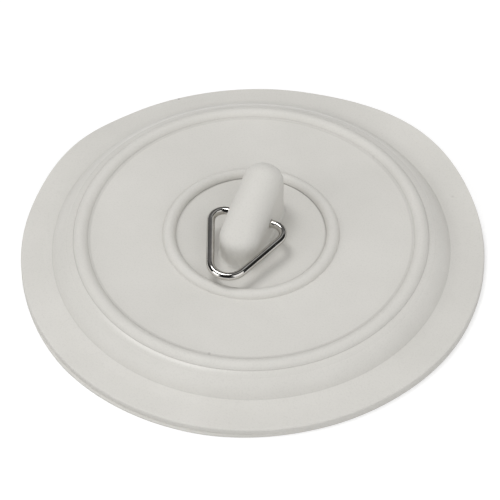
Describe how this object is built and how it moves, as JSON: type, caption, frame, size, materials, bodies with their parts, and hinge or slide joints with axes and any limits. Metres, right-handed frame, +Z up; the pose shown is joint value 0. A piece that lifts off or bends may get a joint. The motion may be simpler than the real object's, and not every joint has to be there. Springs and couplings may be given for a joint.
{
  "type": "drain stopper",
  "caption": "Flat flexible rubber disc that covers a drain and seals by suction, with raised rings, a moulded pull lug and a swinging triangular wire ring.",
  "frame": {"origin": "centre of the disc on the flat surface that its underside seals against", "axes": "+Z up out of the sealed surface, X along the lug's cross hole, which is the ring's hinge axis, and the ring lies towards -Y at rest"},
  "size_m": [0.1142, 0.1142, 0.0219],
  "materials": {
    "rubber": "matt moulded rubber, warm off-white",
    "plated_wire": "bright nickel plate over steel wire"
  },
  "bodies": {
    "stopper": {"rubber_stopper": "rubber"},
    "ring": {"pull_ring": "plated_wire"}
  },
  "joints": [
    {"name": "ring_swing", "type": "hinge", "parent": "stopper", "child": "ring", "pos_m": [0, 0, 0.0129], "axis": [-1, 0, 0], "range_deg": [-4.5, 192]}
  ]
}
